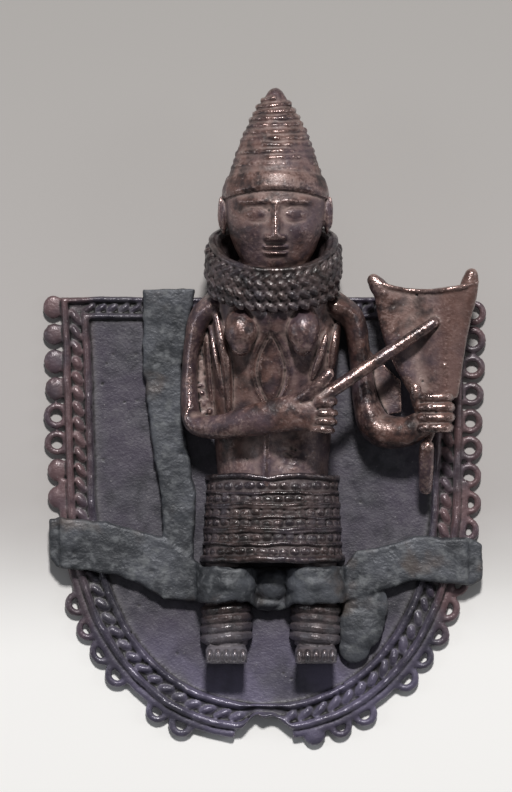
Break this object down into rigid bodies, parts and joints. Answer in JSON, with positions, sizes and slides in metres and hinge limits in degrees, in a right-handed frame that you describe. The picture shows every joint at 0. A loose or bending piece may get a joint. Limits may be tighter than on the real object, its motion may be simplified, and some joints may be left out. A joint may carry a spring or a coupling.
{
  "type": "bronze waist pendant",
  "caption": "Shield-shaped cast bronze pendant with a standing figure in high relief striking a gong, a fringe of cast loops and an old lead repair.",
  "frame": {"origin": "middle of the pendant's box on the plane of the plate's back, as it lies on its back", "axes": "+Y from the figure's feet to its cap, +X to the viewer's right, +Z out of the plate towards the viewer"},
  "size_m": [0.1184, 0.1742, 0.0305],
  "materials": {
    "bronze": "dark brown patina rubbed bright on what stands proud",
    "lead": "poured and scraped lead solder, dull blue-grey"
  },
  "bodies": {
    "root": {"pendant_casting": "bronze", "lead_repair": "lead"}
  },
  "joints": []
}
